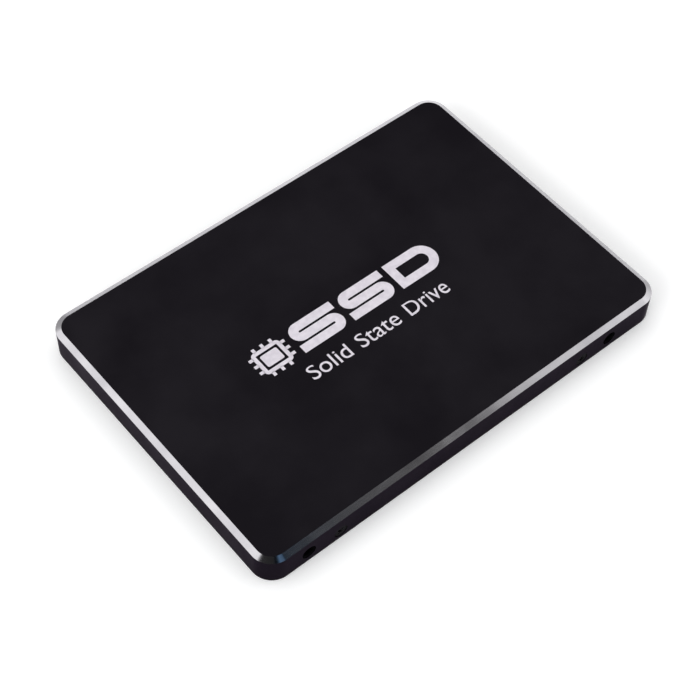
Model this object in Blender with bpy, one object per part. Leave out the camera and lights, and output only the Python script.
"""A 2.5 inch, 7 mm high SATA solid state drive, built piece by piece as it comes apart on a bench.

A deep aluminium top shell drops over a shallow bottom cover and is held by four countersunk side screws.
The circuit board is screwed to the bottom cover's standoffs, with the SATA plug at its front edge.

Frame: metres. The origin is the centre of the bottom face, +X runs along the length towards the plug,
+Y across the width, +Z up.
"""

from math import cos, hypot, pi, radians, sin

import bmesh
import bpy
from mathutils import Matrix

MM = 0.001

# Overall case
LENGTH = 100.2 * MM
WIDTH = 69.85 * MM
HEIGHT = 7.0 * MM
CORNER_RADIUS = 4.5 * MM
CORNER_STEPS = 10

# Top shell
SHELL_WALL = 1.2 * MM
SHELL_TOP = 1.0 * MM
CHAMFER_IN = 1.2 * MM
CHAMFER_DOWN = 0.65 * MM
BOTTOM_EDGE_BREAK = 0.2 * MM

# Tapped M3 holes in the shell's corner bosses
MOUNT_HOLE_FROM_PLUG_END = 14.0 * MM
MOUNT_HOLE_FROM_REAR_END = 9.6 * MM
BOTTOM_HOLE_FROM_SIDE = 4.07 * MM
SIDE_HOLE_HEIGHT = 3.0 * MM
MOUNT_HOLE_RADIUS = 1.25 * MM
MOUNT_HOLE_DEPTH = 3.5 * MM
BOSS_RADIUS = 3.0 * MM

# Bottom cover
COVER_FLOOR = 0.8 * MM
FLANGE_THICKNESS = 0.9 * MM
FLANGE_TOP = 5.2 * MM
FLANGE_SETBACK = 0.1 * MM
END_FLANGE_MARGIN = 8.0 * MM
STANDOFF_RADIUS = 2.5 * MM

# Countersunk M1.6 side screws that hold the shell to the cover
SIDE_SCREW_FROM_MOUNT_HOLE = 7.5 * MM
SIDE_SCREW_HEIGHT = 2.4 * MM
SIDE_SCREW_SHANK_RADIUS = 0.8 * MM
SIDE_SCREW_HEAD_RADIUS = 1.4 * MM
SIDE_SCREW_RIM = 0.1 * MM
SIDE_SCREW_LENGTH = 2.8 * MM
SIDE_SCREW_SUNK = 0.1 * MM

# Circuit board, which reaches from the plug to just behind the flash chips
BOARD_THICKNESS = 1.0 * MM
BOARD_UNDERSIDE = 2.1 * MM
BOARD_TO_PLUG_FACE = 0.5 * MM
BOARD_TO_FLANGE = 1.4 * MM
BOARD_REAR_MARGIN = 3.7 * MM
BOARD_CORNER_RADIUS = 1.0 * MM
BOARD_SCREW_FROM_REAR = 3.7 * MM
BOARD_SCREW_FROM_PLUG_EDGE = 15.3 * MM
BOARD_SCREW_FROM_SIDE = 3.5 * MM

# Pan head M2 board screws
BOARD_SCREW_SHANK_RADIUS = 1.0 * MM
BOARD_SCREW_HEAD_RADIUS = 1.8 * MM
BOARD_SCREW_HEAD_HEIGHT = 1.1 * MM
BOARD_SCREW_LENGTH = 2.2 * MM

# Cross-recessed screws: shares of the shank's radius at the tip, and of the head's size in the recess
SCREW_TIP_RADIUS = 0.75
SCREW_TIP_LENGTH = 0.25
RECESS_FLOOR_SPAN = 0.45
RECESS_FLOOR_WIDTH = 0.8
SIDE_SCREW_RECESS_SPAN = 0.62
SIDE_SCREW_RECESS_WIDTH = 0.16
BOARD_SCREW_RECESS_SPAN = 0.6
BOARD_SCREW_RECESS_WIDTH = 0.14
BOARD_SCREW_RECESS_DEPTH = 0.65
# Share of the head's radius and of its height at each step of a pan head's dome
PAN_HEAD_DOME = ((1.0, 0.6), (0.8, 0.9), (0.5, 1.0))

# SATA plug: the tongue sizes and the contact pitch are the standard's
PLUG_FROM_SIDE = 4.8 * MM
PLUG_WIDTH = 42.73 * MM
PLUG_SETBACK = 0.5 * MM
PLUG_BODY_DEPTH = 3.3 * MM
TONGUE_LENGTH = 6.3 * MM
TONGUE_THICKNESS = 1.23 * MM
TONGUE_UNDERSIDE = 3.5 * MM
POWER_TONGUE_WIDTH = 20.57 * MM
SIGNAL_TONGUE_WIDTH = 10.41 * MM
POWER_TONGUE_FROM_PLUG_END = 4.6 * MM
TONGUE_GAP = 2.41 * MM
TONGUE_NOSE = 0.3 * TONGUE_THICKNESS
KEY_LEG_WIDTH = 1.15 * MM
KEY_LEG_DROP = 1.2 * MM
GUIDE_ARM_WIDTH = 2.0 * MM
GUIDE_ARM_NOSE = 0.5 * GUIDE_ARM_WIDTH
GUIDE_ARM_UNDERSIDE = 2.3 * MM
PLUG_OPENING_CLEARANCE = 0.5 * MM
COVER_CUTOUT_MARGIN = 1.6 * MM

# SATA contacts
CONTACT_PITCH = 1.27 * MM
CONTACT_WIDTH = 0.84 * MM
CONTACT_THICKNESS = 0.2 * MM
FIRST_CONTACT_FROM_TONGUE_END = 1.04 * MM
CONTACT_FOOT_LENGTH = 1.4 * MM
CONTACT_SETBACK = {"first": 0.6 * MM, "second": 1.1 * MM, "last": 1.6 * MM}
SIGNAL_CONTACTS = 7
POWER_CONTACTS = 15
SIGNAL_FIRST = (1, 4, 7)
POWER_FIRST = (4, 12)
POWER_SECOND = (3, 7, 13)

# Board locks, the metal tabs that hold the plug to the board
LOCK_LENGTH = 1.0 * MM
LOCK_THICKNESS = 0.4 * MM
LOCK_HEIGHT_IN_PLUG = 1.0 * MM
LOCK_BELOW_BOARD = 0.4 * MM
LOCK_FROM_PLUG_END = 1.3 * MM

# Thin inner pieces
FILM_THICKNESS = 0.2 * MM
FILM_MARGIN = 2.2 * MM
PAD_OVERHANG = 0.5 * MM
LABEL_END_MARGIN = 2.8 * MM
LABEL_SIDE_MARGIN = 3.8 * MM
LABEL_THICKNESS = 0.1 * MM
LABEL_CORNER_RADIUS = 1.0 * MM
LABEL_RECESS = 0.25 * MM

# Clearances
GAP = 0.3 * MM
SMALL_GAP = 0.1 * MM
BOARD_NOTCH_CLEARANCE = 0.6 * MM
OVERSHOOT = 1.0 * MM
ROUND_STEPS = 24

# Flash chips, in two columns and two rows
FLASH_LENGTH = 12.0 * MM
FLASH_WIDTH = 18.0 * MM
FLASH_HEIGHT = 1.2 * MM
FLASH_COLUMN_PITCH = 14.5 * MM
FLASH_ROW_PITCH = 21.0 * MM
FLASH_FROM_PLUG_EDGE = 40.8 * MM

# Other board parts in millimetres: name, distances of the centre from the board's plug edge and from the
# plug's power end, length, width, height, finish
BOARD_PARTS = (
    ("controller_chip", 23.3, 34.1, 13.0, 13.0, 1.0, "chip"),
    ("dram_chip", 23.3, 18.6, 8.0, 12.0, 0.9, "chip"),
    ("firmware_chip", 23.3, 46.6, 6.0, 5.0, 0.8, "chip"),
    ("power_manager_chip", 15.0, 11.6, 5.0, 5.0, 0.8, "chip"),
    ("regulator_chip_1", 13.3, 31.6, 3.0, 3.0, 0.8, "chip"),
    ("regulator_chip_2", 13.3, 36.6, 3.0, 3.0, 0.8, "chip"),
    ("inductor_1", 14.6, 19.1, 4.0, 4.0, 1.8, "ferrite"),
    ("inductor_2", 14.6, 25.1, 4.0, 4.0, 1.8, "ferrite"),
    ("bulk_capacitor_1", 8.8, 8.6, 4.3, 7.3, 1.9, "tantalum"),
    ("bulk_capacitor_2", 8.8, 17.1, 4.3, 7.3, 1.9, "tantalum"),
    ("bulk_capacitor_3", 8.8, 25.6, 4.3, 7.3, 1.9, "tantalum"),
    ("crystal", 13.8, 42.1, 2.5, 3.2, 0.7, "nickel"),
)

# Values worked out from the sizes above
HALF_LENGTH = LENGTH / 2
HALF_WIDTH = WIDTH / 2
CEILING = HEIGHT - SHELL_TOP
INNER_LENGTH = LENGTH - 2 * SHELL_WALL
INNER_WIDTH = WIDTH - 2 * SHELL_WALL
INNER_RADIUS = CORNER_RADIUS - SHELL_WALL
MOUNT_X_FRONT = HALF_LENGTH - MOUNT_HOLE_FROM_PLUG_END
MOUNT_X_REAR = MOUNT_HOLE_FROM_REAR_END - HALF_LENGTH
BOSS_Y = HALF_WIDTH - BOTTOM_HOLE_FROM_SIDE
SIDE_SCREW_XS = (MOUNT_X_REAR + SIDE_SCREW_FROM_MOUNT_HOLE, MOUNT_X_FRONT - SIDE_SCREW_FROM_MOUNT_HOLE)
PLUG_FRONT = HALF_LENGTH - PLUG_SETBACK
PLUG_FACE = PLUG_FRONT - TONGUE_LENGTH
PLUG_BACK = PLUG_FACE - PLUG_BODY_DEPTH
PLUG_Y_HIGH = HALF_WIDTH - PLUG_FROM_SIDE
PLUG_Y_LOW = PLUG_Y_HIGH - PLUG_WIDTH
POWER_Y_HIGH = PLUG_Y_HIGH - POWER_TONGUE_FROM_PLUG_END
POWER_Y_LOW = POWER_Y_HIGH - POWER_TONGUE_WIDTH
SIGNAL_Y_HIGH = POWER_Y_LOW - TONGUE_GAP
SIGNAL_Y_LOW = SIGNAL_Y_HIGH - SIGNAL_TONGUE_WIDTH
COVER_X_EDGE = INNER_LENGTH / 2 - GAP
COVER_Y_EDGE = INNER_WIDTH / 2 - GAP
FLANGE_X = COVER_X_EDGE - FLANGE_SETBACK
FLANGE_Y = COVER_Y_EDGE - FLANGE_SETBACK
BOARD_FRONT = PLUG_FACE - BOARD_TO_PLUG_FACE
FLASH_COLUMNS = [BOARD_FRONT - FLASH_FROM_PLUG_EDGE - FLASH_COLUMN_PITCH * i for i in (0, 1)]
BOARD_REAR = FLASH_COLUMNS[-1] - FLASH_LENGTH / 2 - BOARD_REAR_MARGIN
BOARD_TOP = BOARD_UNDERSIDE + BOARD_THICKNESS
BOARD_HALF_WIDTH = FLANGE_Y - FLANGE_THICKNESS - BOARD_TO_FLANGE
BOARD_SCREW_Y = BOARD_HALF_WIDTH - BOARD_SCREW_FROM_SIDE
BOARD_SCREW_XS = (BOARD_REAR + BOARD_SCREW_FROM_REAR, BOARD_FRONT - BOARD_SCREW_FROM_PLUG_EDGE)
CHIP_LOW = BOARD_TOP + GAP
PLUG_UNDERSIDE = BOARD_TOP + GAP
PLUG_TOP = CEILING - GAP
# The plug's legs and arms start inside its body, clear of the board
PLUG_LIMB_ROOT = PLUG_FACE - (PLUG_FACE - BOARD_FRONT) / 3
LOCK_X = (PLUG_BACK + BOARD_FRONT) / 2
LOCK_YS = (PLUG_Y_LOW + LOCK_FROM_PLUG_END, PLUG_Y_HIGH - LOCK_FROM_PLUG_END)
LABEL_X = (MOUNT_X_REAR + MOUNT_X_FRONT) / 2
LABEL_HALF_LENGTH = (MOUNT_X_FRONT - MOUNT_X_REAR) / 2 - BOSS_RADIUS - LABEL_END_MARGIN
LABEL_HALF_WIDTH = BOSS_Y - BOSS_RADIUS - LABEL_SIDE_MARGIN
CORNERS = [(x, side) for x in (MOUNT_X_REAR, MOUNT_X_FRONT) for side in (-1, 1)]


# Scene and materials

def clear_scene():
    for thing in list(bpy.data.objects):
        bpy.data.objects.remove(thing, do_unlink=True)


def make_material(name, colour, roughness, metallic=0.0):
    material = bpy.data.materials.new(name)
    material.use_nodes = True
    shader = material.node_tree.nodes["Principled BSDF"]
    shader.inputs["Base Color"].default_value = (*colour, 1.0)
    shader.inputs["Roughness"].default_value = roughness
    shader.inputs["Metallic"].default_value = metallic
    return material


def make_materials():
    return {
        "shell": make_material("black_anodised_aluminium", (0.014, 0.012, 0.016), 0.45, 1.0),
        "cover": make_material("black_painted_aluminium", (0.018, 0.018, 0.020), 0.55, 1.0),
        "screw": make_material("black_oxide_steel", (0.06, 0.06, 0.065), 0.4, 1.0),
        "nickel": make_material("nickel_plated_steel", (0.55, 0.53, 0.50), 0.35, 1.0),
        "board": make_material("solder_mask_on_glass_fibre", (0.006, 0.03, 0.055), 0.4),
        "plug": make_material("black_moulded_plastic", (0.012, 0.012, 0.013), 0.5),
        "contact": make_material("gold_plated_contact", (0.85, 0.62, 0.25), 0.25, 1.0),
        "chip": make_material("moulded_chip_package", (0.02, 0.02, 0.022), 0.6),
        "ferrite": make_material("grey_ferrite", (0.09, 0.09, 0.095), 0.55),
        "tantalum": make_material("yellow_capacitor_case", (0.72, 0.42, 0.08), 0.45),
        "pad": make_material("grey_silicone_pad", (0.32, 0.36, 0.42), 0.8),
        "film": make_material("black_polyester_film", (0.02, 0.02, 0.02), 0.4),
        "label": make_material("white_paper_label", (0.80, 0.80, 0.78), 0.6),
    }


# Shapes

def corner_arc(centre_x, centre_y, radius, start, steps):
    """Points on a quarter circle, from the start angle, both ends included."""
    angles = [start + pi / 2 * i / steps for i in range(steps + 1)]
    return [(centre_x + radius * cos(a), centre_y + radius * sin(a)) for a in angles]


def rounded_rectangle(x_low, x_high, y_low, y_high, radius, steps=CORNER_STEPS):
    """Outline points, anticlockwise seen from above."""
    points = corner_arc(x_high - radius, y_high - radius, radius, 0, steps)
    points += corner_arc(x_low + radius, y_high - radius, radius, pi / 2, steps)
    points += corner_arc(x_low + radius, y_low + radius, radius, pi, steps)
    points += corner_arc(x_high - radius, y_low + radius, radius, 3 * pi / 2, steps)
    return points


def inset_case(inset, radius):
    """The case's outline moved in by inset, with the given corner radius."""
    x = HALF_LENGTH - inset
    y = HALF_WIDTH - inset
    return rounded_rectangle(-x, x, -y, y, radius)


def add_loft(bm, rings):
    """A closed solid through rings of equally many points, each ring a list of (x, y) and a height."""
    loops = [[bm.verts.new((x, y, z)) for x, y in outline] for outline, z in rings]
    count = len(loops[0])
    for low, high in zip(loops, loops[1:]):
        for i in range(count):
            j = (i + 1) % count
            bm.faces.new((low[i], low[j], high[j], high[i]))
    bm.faces.new(list(reversed(loops[0])))
    bm.faces.new(loops[-1])


def add_prism(bm, outline, low, high):
    add_loft(bm, [(outline, low), (outline, high)])


def add_box(bm, x, y, z):
    """A box from three (low, high) pairs."""
    outline = [(x[0], y[0]), (x[1], y[0]), (x[1], y[1]), (x[0], y[1])]
    add_prism(bm, outline, z[0], z[1])


def add_cylinder(bm, x, y, radius, low, high, steps=ROUND_STEPS):
    angles = [2 * pi * i / steps for i in range(steps)]
    outline = [(x + radius * cos(a), y + radius * sin(a)) for a in angles]
    add_prism(bm, outline, low, high)


def add_side_cylinder(bm, x, z, side, depth, radius, steps=ROUND_STEPS):
    """A cylinder along Y, from just outside the case's side to the given depth inside it."""
    cylinder = bmesh.new()
    add_cylinder(cylinder, 0, 0, radius, -depth, OVERSHOOT, steps)
    place_on_side(cylinder, x, z, side)
    merge(bm, cylinder)


def place_on_side(bm, x, z, side):
    """Lay a shape made about +Z on one side of the case, with its +Z pointing out."""
    bmesh.ops.rotate(bm, verts=bm.verts, cent=(0, 0, 0), matrix=Matrix.Rotation(-side * pi / 2, 3, "X"))
    bmesh.ops.translate(bm, verts=bm.verts, vec=(x, side * HALF_WIDTH, z))


def merge(bm, other):
    """Add another bmesh's shape to bm and free it."""
    mesh = bpy.data.meshes.new("merged")
    other.to_mesh(mesh)
    other.free()
    bm.from_mesh(mesh)
    bpy.data.meshes.remove(mesh)


def turned(profile, steps=ROUND_STEPS):
    """A solid of revolution about Z from (radius, height) points that start and end on the axis."""
    bm = bmesh.new()
    bottom = bm.verts.new((0, 0, profile[0][1]))
    top = bm.verts.new((0, 0, profile[-1][1]))
    rings = []
    for radius, height in profile[1:-1]:
        angles = [2 * pi * i / steps for i in range(steps)]
        rings.append([bm.verts.new((radius * cos(a), radius * sin(a), height)) for a in angles])
    for i in range(steps):
        j = (i + 1) % steps
        bm.faces.new((bottom, rings[0][j], rings[0][i]))
        bm.faces.new((top, rings[-1][i], rings[-1][j]))
        for low, high in zip(rings, rings[1:]):
            bm.faces.new((low[i], low[j], high[j], high[i]))
    return bm


def make_object(name, bm, material=None, smooth=False):
    bmesh.ops.recalc_face_normals(bm, faces=bm.faces)
    mesh = bpy.data.meshes.new(name)
    bm.to_mesh(mesh)
    bm.free()
    if smooth:
        mesh.shade_smooth()
        mesh.set_sharp_from_angle(angle=radians(35))
    thing = bpy.data.objects.new(name, mesh)
    bpy.context.scene.collection.objects.link(thing)
    if material:
        mesh.materials.append(material)
    return thing


def add_boolean(target, bm, operation, name):
    """Join or cut the target with a helper shape, which stays in the scene as a hidden guide."""
    helper = make_object(name, bm)
    helper.hide_render = True
    helper.display_type = "WIRE"
    modifier = target.modifiers.new(name, "BOOLEAN")
    modifier.operation = operation
    modifier.solver = "EXACT"
    modifier.object = helper
    return helper


def cut(target, bm, name):
    return add_boolean(target, bm, "DIFFERENCE", name)


def join(target, bm, name):
    return add_boolean(target, bm, "UNION", name)


def add_boss(bm, x, side, radius, y_outer, low, high):
    """A column with a round inner end, running out to y_outer on one side of the case."""
    steps = ROUND_STEPS // 2
    arc = [pi * i / steps for i in range(steps + 1)]
    outline = [(x + radius * cos(a), side * (BOSS_Y - radius * sin(a))) for a in arc]
    outline += [(x - radius, side * y_outer), (x + radius, side * y_outer)]
    if side > 0:
        outline.reverse()
    add_prism(bm, outline, low, high)


# Case

def build_top_shell(materials):
    bm = bmesh.new()
    add_loft(bm, [
        (inset_case(SHELL_WALL, INNER_RADIUS), CEILING),
        (inset_case(SHELL_WALL, INNER_RADIUS), 0),
        (inset_case(BOTTOM_EDGE_BREAK, CORNER_RADIUS - BOTTOM_EDGE_BREAK), 0),
        (inset_case(0, CORNER_RADIUS), BOTTOM_EDGE_BREAK),
        (inset_case(0, CORNER_RADIUS), HEIGHT - CHAMFER_DOWN),
        (inset_case(CHAMFER_IN, CORNER_RADIUS - CHAMFER_IN), HEIGHT),
    ])
    shell = make_object("top_shell", bm, materials["shell"], smooth=True)

    bosses = bmesh.new()
    for x, side in CORNERS:
        add_boss(bosses, x, side, BOSS_RADIUS, HALF_WIDTH - SHELL_WALL / 2, 0, CEILING + SHELL_TOP / 2)
    join(shell, bosses, "shell_bosses")

    opening = bmesh.new()
    y_low = PLUG_Y_LOW - PLUG_OPENING_CLEARANCE
    y_high = PLUG_Y_HIGH + PLUG_OPENING_CLEARANCE
    inside = HALF_LENGTH - SHELL_WALL - OVERSHOOT
    add_box(opening, (inside, HALF_LENGTH + OVERSHOOT), (y_low, y_high), (-OVERSHOOT, CEILING))
    cut(shell, opening, "plug_opening")

    bottom_holes = bmesh.new()
    side_holes = bmesh.new()
    for x, side in CORNERS:
        add_cylinder(bottom_holes, x, side * BOSS_Y, MOUNT_HOLE_RADIUS, -OVERSHOOT, MOUNT_HOLE_DEPTH)
        add_side_cylinder(side_holes, x, SIDE_HOLE_HEIGHT, side, MOUNT_HOLE_DEPTH, MOUNT_HOLE_RADIUS)
    cut(shell, bottom_holes, "bottom_mount_holes")
    cut(shell, side_holes, "side_mount_holes")

    countersinks = bmesh.new()
    for x in SIDE_SCREW_XS:
        for side in (-1, 1):
            add_countersink(countersinks, x, side)
    cut(shell, countersinks, "side_screw_holes")


def side_screw_cone():
    """Height of the head's 90 degree cone."""
    return SIDE_SCREW_HEAD_RADIUS - SIDE_SCREW_SHANK_RADIUS


def add_countersink(bm, x, side):
    """The hole for a side screw through the shell's wall, with the screw's own shape and a clearance."""
    head = SIDE_SCREW_HEAD_RADIUS + SMALL_GAP
    shank = SIDE_SCREW_SHANK_RADIUS + SMALL_GAP
    rim = -(SIDE_SCREW_SUNK + SIDE_SCREW_RIM)
    tool = turned([
        (0, -SHELL_WALL - OVERSHOOT / 2),
        (shank, -SHELL_WALL - OVERSHOOT / 2),
        (shank, rim - side_screw_cone()),
        (head, rim),
        (head, OVERSHOOT),
        (0, OVERSHOOT),
    ])
    place_on_side(tool, x, SIDE_SCREW_HEIGHT, side)
    merge(bm, tool)


def build_bottom_cover(materials):
    bm = bmesh.new()
    add_prism(bm, inset_case(SHELL_WALL + GAP, INNER_RADIUS - GAP), 0, COVER_FLOOR)
    cover = make_object("bottom_cover", bm, materials["cover"], smooth=True)

    clearances = bmesh.new()
    for x, side in CORNERS:
        add_boss(clearances, x, side, BOSS_RADIUS + GAP, HALF_WIDTH, -OVERSHOOT, COVER_FLOOR + OVERSHOOT)
    cut(cover, clearances, "boss_clearances")

    opening = bmesh.new()
    y_pair = (SIGNAL_Y_LOW - COVER_CUTOUT_MARGIN, POWER_Y_HIGH + COVER_CUTOUT_MARGIN)
    add_box(opening, (BOARD_FRONT, HALF_LENGTH), y_pair, (-OVERSHOOT, COVER_FLOOR + OVERSHOOT))
    cut(cover, opening, "plug_cutout")

    flanges = bmesh.new()
    z_pair = (COVER_FLOOR / 2, FLANGE_TOP)
    boss_reach = BOSS_RADIUS + GAP
    long_x = (MOUNT_X_REAR + boss_reach, MOUNT_X_FRONT - boss_reach)
    for side in (-1, 1):
        add_box(flanges, long_x, sorted((side * FLANGE_Y, side * (FLANGE_Y - FLANGE_THICKNESS))), z_pair)
    end_y = COVER_Y_EDGE - END_FLANGE_MARGIN
    add_box(flanges, (-FLANGE_X, -FLANGE_X + FLANGE_THICKNESS), (-end_y, end_y), z_pair)
    blank_y = PLUG_Y_LOW - PLUG_OPENING_CLEARANCE - GAP
    add_box(flanges, (FLANGE_X - FLANGE_THICKNESS, FLANGE_X), (-end_y, blank_y), z_pair)
    join(cover, flanges, "cover_flanges")

    standoffs = bmesh.new()
    for x in BOARD_SCREW_XS:
        for side in (-1, 1):
            z_top = BOARD_UNDERSIDE - GAP
            add_cylinder(standoffs, x, side * BOARD_SCREW_Y, STANDOFF_RADIUS, COVER_FLOOR / 2, z_top)
    join(cover, standoffs, "board_standoffs")

    standoff_holes = bmesh.new()
    hole_bottom = board_screw_seat() - BOARD_SCREW_LENGTH - GAP
    for x in BOARD_SCREW_XS:
        for side in (-1, 1):
            radius = BOARD_SCREW_SHANK_RADIUS + GAP
            add_cylinder(standoff_holes, x, side * BOARD_SCREW_Y, radius, hole_bottom, BOARD_TOP)
    cut(cover, standoff_holes, "standoff_holes")

    screw_holes = bmesh.new()
    for x in SIDE_SCREW_XS:
        for side in (-1, 1):
            depth = HALF_WIDTH - FLANGE_Y + FLANGE_THICKNESS + OVERSHOOT / 2
            radius = SIDE_SCREW_SHANK_RADIUS + SMALL_GAP
            add_side_cylinder(screw_holes, x, SIDE_SCREW_HEIGHT, side, depth, radius)
    cut(cover, screw_holes, "flange_screw_holes")

    recess = bmesh.new()
    add_prism(recess, label_outline(GAP), -OVERSHOOT, LABEL_RECESS)
    cut(cover, recess, "label_recess")


def label_outline(margin):
    """The label's outline, centred between the mounting holes, grown by a margin."""
    half_x = LABEL_HALF_LENGTH + margin
    half_y = LABEL_HALF_WIDTH + margin
    return rounded_rectangle(LABEL_X - half_x, LABEL_X + half_x, -half_y, half_y, LABEL_CORNER_RADIUS, 4)


def build_bottom_label(materials):
    bm = bmesh.new()
    low = LABEL_RECESS - SMALL_GAP - LABEL_THICKNESS
    add_prism(bm, label_outline(0), low, low + LABEL_THICKNESS)
    make_object("bottom_label", bm, materials["label"])


# Screws

def cross_recess(half_span, half_width, top, depth):
    """Two cutters, one for each arm of a cross recess that narrows downwards from the head's top."""
    arms = []
    for turn in (0, pi / 2):
        bm = bmesh.new()
        outline_top = [(-half_span, -half_width), (half_span, -half_width), (half_span, half_width),
                       (-half_span, half_width)]
        outline_low = [(x * RECESS_FLOOR_SPAN, y * RECESS_FLOOR_WIDTH) for x, y in outline_top]
        add_loft(bm, [(outline_low, top - depth), (outline_top, top + SMALL_GAP)])
        bmesh.ops.rotate(bm, verts=bm.verts, cent=(0, 0, 0), matrix=Matrix.Rotation(turn, 3, "Z"))
        arms.append(bm)
    return arms


def make_screw(name, profile, half_span, half_width, top, depth, material):
    screw = make_object(name, turned(profile), material, smooth=True)
    for number, arm in enumerate(cross_recess(half_span, half_width, top, depth), 1):
        helper = cut(screw, arm, f"{name}_recess_{number}")
        helper.parent = screw
    return screw


def build_side_screws(materials):
    """Four countersunk screws, modelled head up and then laid on their sides."""
    cone = side_screw_cone()
    profile = [
        (0, -SIDE_SCREW_LENGTH),
        (SIDE_SCREW_SHANK_RADIUS * SCREW_TIP_RADIUS, -SIDE_SCREW_LENGTH),
        (SIDE_SCREW_SHANK_RADIUS, -SIDE_SCREW_LENGTH + SIDE_SCREW_SHANK_RADIUS * SCREW_TIP_LENGTH),
        (SIDE_SCREW_SHANK_RADIUS, -SIDE_SCREW_RIM - cone),
        (SIDE_SCREW_HEAD_RADIUS, -SIDE_SCREW_RIM),
        (SIDE_SCREW_HEAD_RADIUS, 0),
        (0, 0),
    ]
    half_span = SIDE_SCREW_RECESS_SPAN * SIDE_SCREW_HEAD_RADIUS
    half_width = SIDE_SCREW_RECESS_WIDTH * SIDE_SCREW_HEAD_RADIUS
    number = 0
    for side in (-1, 1):
        for x in SIDE_SCREW_XS:
            number += 1
            screw = make_screw(f"side_screw_{number}", profile, half_span, half_width, 0, cone,
                               materials["screw"])
            screw.rotation_euler = (-side * pi / 2, 0, 0)
            screw.location = (x, side * (HALF_WIDTH - SIDE_SCREW_SUNK), SIDE_SCREW_HEIGHT)


def board_screw_seat():
    """Height of the underside of a board screw's head."""
    return BOARD_TOP + GAP


def build_board_screws(materials):
    head = BOARD_SCREW_HEAD_RADIUS
    tall = BOARD_SCREW_HEAD_HEIGHT
    profile = [
        (0, -BOARD_SCREW_LENGTH),
        (BOARD_SCREW_SHANK_RADIUS * SCREW_TIP_RADIUS, -BOARD_SCREW_LENGTH),
        (BOARD_SCREW_SHANK_RADIUS, -BOARD_SCREW_LENGTH + BOARD_SCREW_SHANK_RADIUS * SCREW_TIP_LENGTH),
        (BOARD_SCREW_SHANK_RADIUS, 0),
        (head, 0),
        *((across * head, up * tall) for across, up in PAN_HEAD_DOME),
        (0, tall),
    ]
    number = 0
    for x in BOARD_SCREW_XS:
        for side in (-1, 1):
            number += 1
            screw = make_screw(f"board_screw_{number}", profile, BOARD_SCREW_RECESS_SPAN * head,
                               BOARD_SCREW_RECESS_WIDTH * head, tall, BOARD_SCREW_RECESS_DEPTH * tall,
                               materials["nickel"])
            screw.location = (x, side * BOARD_SCREW_Y, board_screw_seat())


# Circuit board and what it carries

def build_circuit_board(materials):
    bm = bmesh.new()
    half = BOARD_HALF_WIDTH
    outline = rounded_rectangle(BOARD_REAR, BOARD_FRONT, -half, half, BOARD_CORNER_RADIUS, 4)
    add_prism(bm, outline, BOARD_UNDERSIDE, BOARD_TOP)
    board = make_object("circuit_board", bm, materials["board"])

    low = BOARD_UNDERSIDE - OVERSHOOT
    high = BOARD_TOP + OVERSHOOT
    notches = bmesh.new()
    for x, side in CORNERS:
        add_boss(notches, x, side, BOSS_RADIUS + BOARD_NOTCH_CLEARANCE, HALF_WIDTH, low, high)
    cut(board, notches, "boss_notches")

    holes = bmesh.new()
    for x in BOARD_SCREW_XS:
        for side in (-1, 1):
            add_cylinder(holes, x, side * BOARD_SCREW_Y, BOARD_SCREW_SHANK_RADIUS + GAP, low, high)
    lock_hole_radius = hypot(LOCK_LENGTH, LOCK_THICKNESS) / 2 + SMALL_GAP
    for y in LOCK_YS:
        add_cylinder(holes, LOCK_X, y, lock_hole_radius, low, high, ROUND_STEPS // 2)
    cut(board, holes, "board_holes")


def chip_rows():
    """Each board part's name, X range, Y range, height and finish."""
    rows = []
    number = 0
    for x in reversed(FLASH_COLUMNS):
        for side in (1, -1):
            number += 1
            y = side * FLASH_ROW_PITCH / 2
            size = (span(x, FLASH_LENGTH), span(y, FLASH_WIDTH), FLASH_HEIGHT)
            rows.append((f"nand_chip_{number}", *size, "chip"))
    for name, from_edge, from_end, length, width, height, finish in BOARD_PARTS:
        x = BOARD_FRONT - from_edge * MM
        y = PLUG_Y_HIGH - from_end * MM
        rows.append((name, span(x, length * MM), span(y, width * MM), height * MM, finish))
    return rows


def span(centre, size):
    return centre - size / 2, centre + size / 2


def widest(spans, margin):
    """The range that covers every span, with a margin at both ends."""
    return min(low for low, high in spans) - margin, max(high for low, high in spans) + margin


def build_board_parts(materials):
    for name, x, y, height, finish in chip_rows():
        bm = bmesh.new()
        add_box(bm, x, y, (CHIP_LOW, CHIP_LOW + height))
        make_object(name, bm, materials[finish])


def build_thermal_pads(materials):
    """A pad between each group of hot chips and the shell's ceiling."""
    for name, prefix in (("controller_thermal_pad", "controller"), ("flash_thermal_pad", "nand")):
        chips = [row for row in chip_rows() if row[0].startswith(prefix)]
        x_pair = widest([row[1] for row in chips], PAD_OVERHANG)
        y_pair = widest([row[2] for row in chips], PAD_OVERHANG)
        top = CHIP_LOW + max(row[3] for row in chips)
        bm = bmesh.new()
        add_box(bm, x_pair, y_pair, (top + GAP, CEILING - GAP))
        make_object(name, bm, materials["pad"])


def build_insulating_film(materials):
    bm = bmesh.new()
    half = BOARD_SCREW_Y - STANDOFF_RADIUS - GAP
    low = COVER_FLOOR + GAP
    x_pair = (BOARD_REAR + FILM_MARGIN, PLUG_BACK - GAP)
    outline = rounded_rectangle(*x_pair, -half, half, BOARD_CORNER_RADIUS, 4)
    add_prism(bm, outline, low, low + FILM_THICKNESS)
    make_object("insulating_film", bm, materials["film"])


# SATA plug

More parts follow.
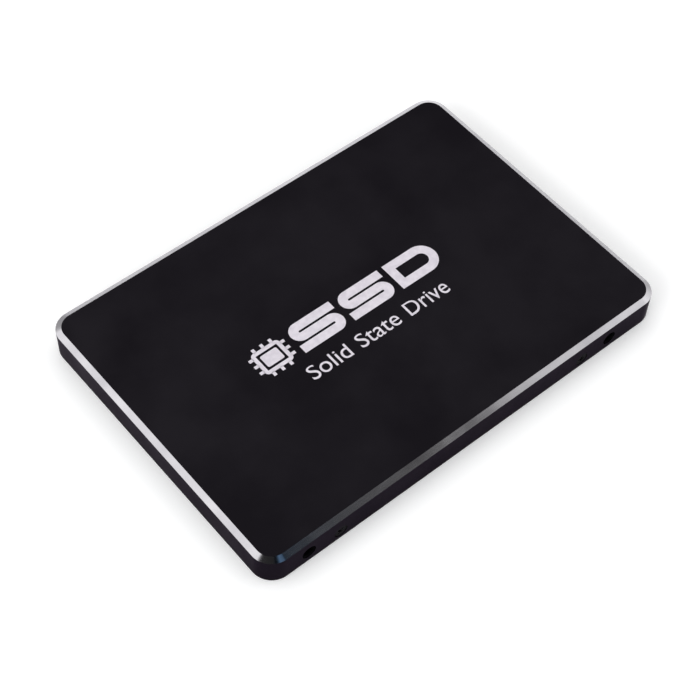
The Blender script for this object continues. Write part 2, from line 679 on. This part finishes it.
def contact_rows():
    """Each contact's node name, centre across Y and front end along X."""
    rows = []
    for number in range(1, SIGNAL_CONTACTS + 1):
        order = "first" if number in SIGNAL_FIRST else "second"
        y = SIGNAL_Y_LOW + FIRST_CONTACT_FROM_TONGUE_END + CONTACT_PITCH * (number - 1)
        rows.append((f"signal_contact_{number}", y, PLUG_FRONT - CONTACT_SETBACK[order]))
    for number in range(1, POWER_CONTACTS + 1):
        order = "last"
        if number in POWER_FIRST:
            order = "first"
        elif number in POWER_SECOND:
            order = "second"
        y = POWER_Y_LOW + FIRST_CONTACT_FROM_TONGUE_END + CONTACT_PITCH * (number - 1)
        rows.append((f"power_contact_{number}", y, PLUG_FRONT - CONTACT_SETBACK[order]))
    return rows


def add_tongue(bm, y_low, y_high):
    """A flat tongue with a chamfered nose and its key leg at the high Y end, seen along Y and X."""
    nose = TONGUE_NOSE
    low = TONGUE_UNDERSIDE
    high = TONGUE_UNDERSIDE + TONGUE_THICKNESS
    root = PLUG_FACE - PLUG_BODY_DEPTH / 2
    outline = [(root, low), (PLUG_FRONT - nose, low), (PLUG_FRONT, low + nose), (PLUG_FRONT, high - nose),
               (PLUG_FRONT - nose, high), (root, high)]
    add_profile(bm, outline, y_low, y_high)


def add_profile(bm, outline, y_low, y_high):
    """Extrude an outline of (x, z) points along Y."""
    shape = bmesh.new()
    add_prism(shape, outline, -y_high, -y_low)
    bmesh.ops.rotate(shape, verts=shape.verts, cent=(0, 0, 0), matrix=Matrix.Rotation(pi / 2, 3, "X"))
    merge(bm, shape)


def build_plug_housing(materials):
    bm = bmesh.new()
    add_box(bm, (PLUG_BACK, PLUG_FACE), (PLUG_Y_LOW, PLUG_Y_HIGH), (PLUG_UNDERSIDE, PLUG_TOP))
    housing = make_object("sata_plug_housing", bm, materials["plug"])

    tongues = bmesh.new()
    add_tongue(tongues, SIGNAL_Y_LOW, SIGNAL_Y_HIGH)
    add_tongue(tongues, POWER_Y_LOW, POWER_Y_HIGH)
    join(housing, tongues, "plug_tongues")

    legs = bmesh.new()
    leg_bottom = TONGUE_UNDERSIDE - KEY_LEG_DROP
    for y_high in (SIGNAL_Y_HIGH, POWER_Y_HIGH):
        x_pair = (PLUG_LIMB_ROOT, PLUG_FRONT - SMALL_GAP)
        z_pair = (leg_bottom, TONGUE_UNDERSIDE + TONGUE_THICKNESS / 2)
        add_box(legs, x_pair, (y_high - KEY_LEG_WIDTH, y_high), z_pair)
    join(housing, legs, "plug_key_legs")

    arms = bmesh.new()
    for outer, width in ((PLUG_Y_LOW, GUIDE_ARM_WIDTH), (PLUG_Y_HIGH, -GUIDE_ARM_WIDTH)):
        inner = outer + width
        outline = [(PLUG_LIMB_ROOT, outer), (PLUG_FRONT, outer), (PLUG_FRONT, (outer + inner) / 2),
                   (PLUG_FRONT - GUIDE_ARM_NOSE, inner), (PLUG_LIMB_ROOT, inner)]
        if outer > inner:
            outline.reverse()
        add_prism(arms, outline, GUIDE_ARM_UNDERSIDE, PLUG_TOP)
    join(housing, arms, "plug_guide_arms")

    slots = bmesh.new()
    for name, y, front in contact_rows():
        half = CONTACT_WIDTH / 2 + SMALL_GAP
        top = TONGUE_UNDERSIDE + CONTACT_THICKNESS + SMALL_GAP
        x_pair = (PLUG_BACK - OVERSHOOT, front + SMALL_GAP)
        add_box(slots, x_pair, (y - half, y + half), (PLUG_UNDERSIDE - OVERSHOOT, top))
    cut(housing, slots, "contact_slots")

    pockets = bmesh.new()
    for y in LOCK_YS:
        half_x = LOCK_LENGTH / 2 + SMALL_GAP
        half_y = LOCK_THICKNESS / 2 + SMALL_GAP
        top = PLUG_UNDERSIDE + LOCK_HEIGHT_IN_PLUG + SMALL_GAP
        add_box(pockets, (LOCK_X - half_x, LOCK_X + half_x), (y - half_y, y + half_y), (BOARD_TOP, top))
    cut(housing, pockets, "lock_pockets")

    reliefs = bmesh.new()
    for side in (-1, 1):
        add_boss(reliefs, MOUNT_X_FRONT, side, BOSS_RADIUS + GAP, HALF_WIDTH, BOARD_TOP, CEILING)
    cut(housing, reliefs, "boss_reliefs")


def build_contacts(materials):
    """Flat contacts with a step down to a foot over the board."""
    blade = TONGUE_UNDERSIDE
    foot = BOARD_TOP + SMALL_GAP
    thick = CONTACT_THICKNESS
    bend = PLUG_BACK - GAP
    step = blade - foot
    heel = bend - step
    for name, y, front in contact_rows():
        toe = heel - CONTACT_FOOT_LENGTH
        outline = [(toe, foot), (heel, foot), (bend, blade), (front, blade), (front, blade + thick),
                   (bend - thick / 2, blade + thick), (heel - thick / 2, foot + thick), (toe, foot + thick)]
        bm = bmesh.new()
        add_profile(bm, outline, y - CONTACT_WIDTH / 2, y + CONTACT_WIDTH / 2)
        make_object(name, bm, materials["contact"])


def build_board_locks(materials):
    """Tabs that hang from the plug through the board and end in a wedge below it."""
    top = PLUG_UNDERSIDE + LOCK_HEIGHT_IN_PLUG
    tip = BOARD_UNDERSIDE - LOCK_BELOW_BOARD
    half = LOCK_LENGTH / 2
    outline = [(LOCK_X - half / 2, tip), (LOCK_X + half / 2, tip), (LOCK_X + half, BOARD_UNDERSIDE),
               (LOCK_X + half, top), (LOCK_X - half, top), (LOCK_X - half, BOARD_UNDERSIDE)]
    for number, y in enumerate(LOCK_YS, 1):
        bm = bmesh.new()
        add_profile(bm, outline, y - LOCK_THICKNESS / 2, y + LOCK_THICKNESS / 2)
        make_object(f"board_lock_{number}", bm, materials["nickel"])


def main():
    clear_scene()
    materials = make_materials()
    build_top_shell(materials)
    build_bottom_cover(materials)
    build_side_screws(materials)
    build_circuit_board(materials)
    build_board_screws(materials)
    build_board_parts(materials)
    build_plug_housing(materials)
    build_contacts(materials)
    build_board_locks(materials)
    build_thermal_pads(materials)
    build_insulating_film(materials)
    build_bottom_label(materials)


main()
